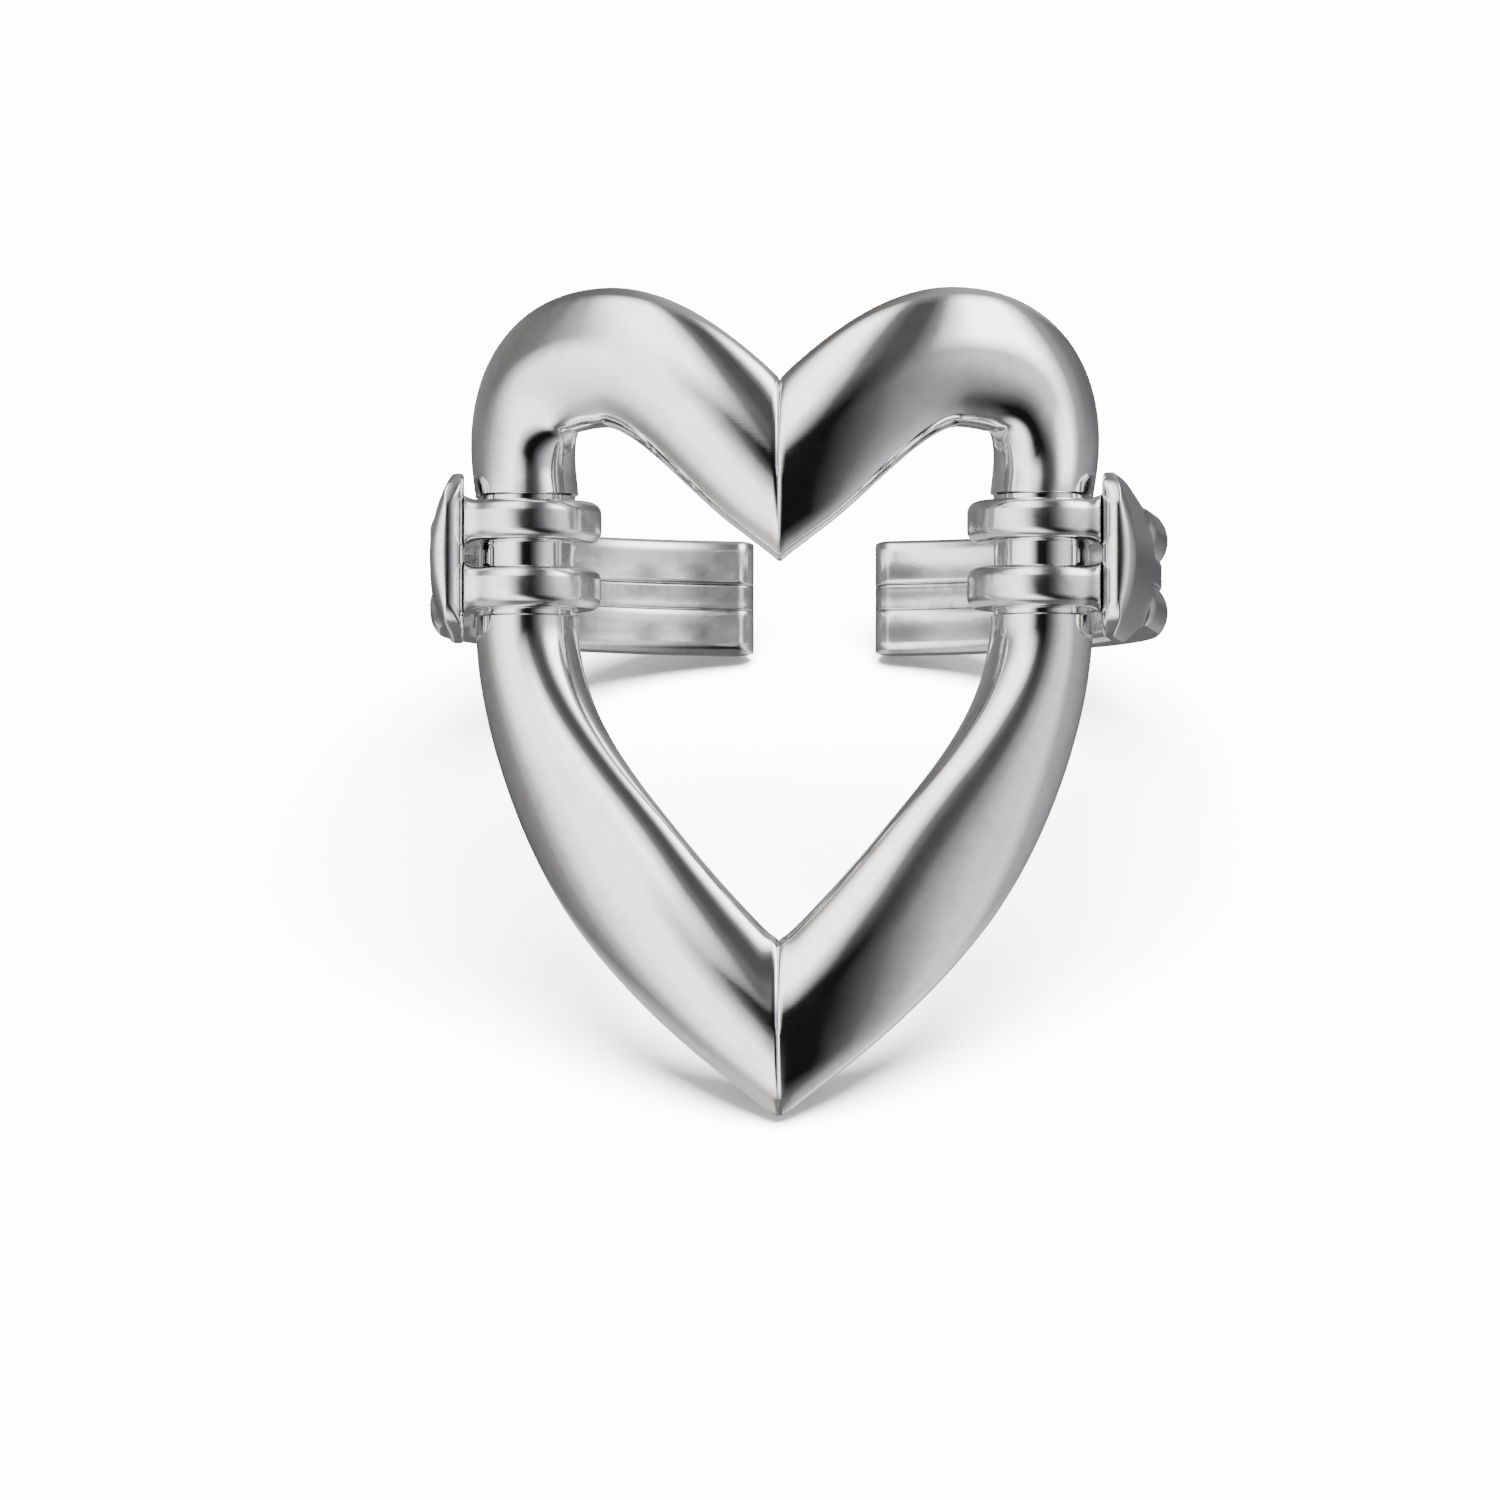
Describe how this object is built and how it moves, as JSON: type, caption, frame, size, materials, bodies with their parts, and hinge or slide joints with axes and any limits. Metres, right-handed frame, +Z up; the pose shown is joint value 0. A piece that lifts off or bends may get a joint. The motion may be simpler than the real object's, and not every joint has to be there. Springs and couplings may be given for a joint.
{
  "type": "heart-front open finger ring",
  "caption": "Polished open-backed finger ring: an oval-bar heart curved to the finger, with a split band whose arms are looped round its sides and swing open.",
  "frame": {"origin": "centre of the footprint on the table, under the ring's box", "axes": "+Z up, the heart faces -Y and leans back, +X to the viewer's right"},
  "size_m": [0.0196, 0.026, 0.0177],
  "materials": {
    "heart_silver": "mirror polish",
    "plate_silver": "mirror polish",
    "loop_silver": "polish, slightly darker in the corners",
    "band_silver": "polish with fine wear lines",
    "groove_silver": "polish, toned darker in the groove"
  },
  "bodies": {
    "heart": {"limb_left": "heart_silver", "limb_right": "heart_silver"},
    "left_arm": {"plate_left": "plate_silver", "loop_upper_left": "loop_silver", "loop_lower_left": "loop_silver", "strand_upper_left": "band_silver", "strand_middle_left": "groove_silver", "strand_lower_left": "band_silver"},
    "right_arm": {"plate_right": "plate_silver", "loop_upper_right": "loop_silver", "loop_lower_right": "loop_silver", "strand_upper_right": "band_silver", "strand_middle_right": "groove_silver", "strand_lower_right": "band_silver"}
  },
  "joints": [
    {"name": "left_arm_swing", "type": "hinge", "parent": "heart", "child": "left_arm", "pos_m": [-0.0067, -0.00257, 0.01104], "axis": [0, 0.5536, 0.8328], "range_deg": [-4, 170]},
    {"name": "right_arm_swing", "type": "hinge", "parent": "heart", "child": "right_arm", "pos_m": [0.0067, -0.00257, 0.01104], "axis": [0, -0.5536, -0.8328], "range_deg": [-4, 170]}
  ]
}
